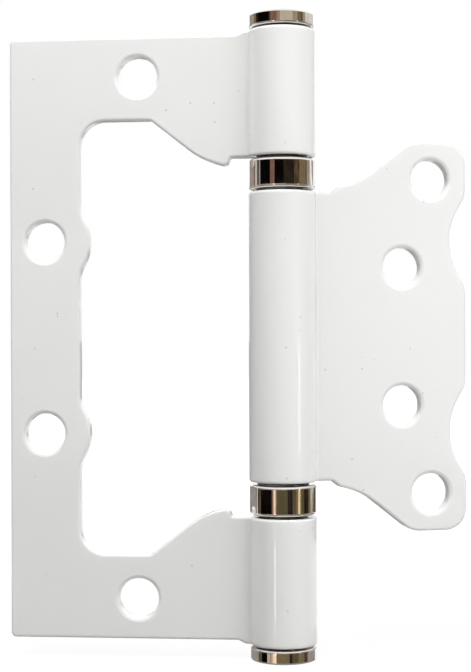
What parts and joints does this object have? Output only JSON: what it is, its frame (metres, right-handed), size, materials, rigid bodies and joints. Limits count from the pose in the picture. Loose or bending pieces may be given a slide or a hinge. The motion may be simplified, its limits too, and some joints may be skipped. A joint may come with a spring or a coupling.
{
  "type": "butterfly hinge",
  "caption": "White painted steel butterfly hinge: a windowed outer leaf and a small inner leaf that nests in it, on a rolled barrel with plated ball bearings and end caps.",
  "frame": {"origin": "on the outer leaf's back face, at mid height, midway between its two edge screw holes", "axes": "+Z along the pin, +Y out of the outer leaf's back into what it is screwed to, +X from the outer leaf's free edge towards the barrel"},
  "size_m": [0.0751, 0.016, 0.105],
  "materials": {
    "white_paint": "glossy baked white paint with a faint orange peel",
    "bright_nickel": "polished nickel plating",
    "pin_steel": "ground steel",
    "bearing_steel": "polished hardened steel",
    "nylon": "natural moulded nylon"
  },
  "bodies": {
    "outer": {"outer_leaf": "white_paint", "hinge_pin": "pin_steel", "top_cap": "bright_nickel", "bottom_cap": "bright_nickel", "upper_bearing_shell": "bright_nickel", "upper_bearing_outer_race": "bearing_steel", "lower_bearing_shell": "bright_nickel", "lower_bearing_outer_race": "bearing_steel"},
    "inner": {"inner_leaf": "white_paint", "upper_bearing_inner_race": "bearing_steel", "lower_bearing_inner_race": "bearing_steel"},
    "upper_balls": {"upper_ball_cage": "nylon", "upper_ball_01": "bearing_steel", "upper_ball_02": "bearing_steel", "upper_ball_03": "bearing_steel", "upper_ball_04": "bearing_steel", "upper_ball_05": "bearing_steel", "upper_ball_06": "bearing_steel", "upper_ball_07": "bearing_steel", "upper_ball_08": "bearing_steel", "upper_ball_09": "bearing_steel", "upper_ball_10": "bearing_steel"},
    "lower_balls": {"lower_ball_cage": "nylon", "lower_ball_01": "bearing_steel", "lower_ball_02": "bearing_steel", "lower_ball_03": "bearing_steel", "lower_ball_04": "bearing_steel", "lower_ball_05": "bearing_steel", "lower_ball_06": "bearing_steel", "lower_ball_07": "bearing_steel", "lower_ball_08": "bearing_steel", "lower_ball_09": "bearing_steel", "lower_ball_10": "bearing_steel"}
  },
  "joints": [
    {"name": "leaf_swing", "type": "hinge", "parent": "outer", "child": "inner", "pos_m": [0.0392, -0.00125, 0], "axis": [0, 0, 1], "range_deg": [-197.5, 162.5]},
    {"name": "upper_ball_roll", "type": "hinge", "parent": "outer", "child": "upper_balls", "pos_m": [0.0392, -0.00125, 0.02645], "axis": [0, 0, 1], "range_deg": [-99, 81.5]},
    {"name": "lower_ball_roll", "type": "hinge", "parent": "outer", "child": "lower_balls", "pos_m": [0.0392, -0.00125, -0.02645], "axis": [0, 0, 1], "range_deg": [-99, 81.5]}
  ],
  "couplings": [
    {"joint": "upper_ball_roll", "follows": "leaf_swing", "ratio": 0.5},
    {"joint": "lower_ball_roll", "follows": "leaf_swing", "ratio": 0.5}
  ]
}
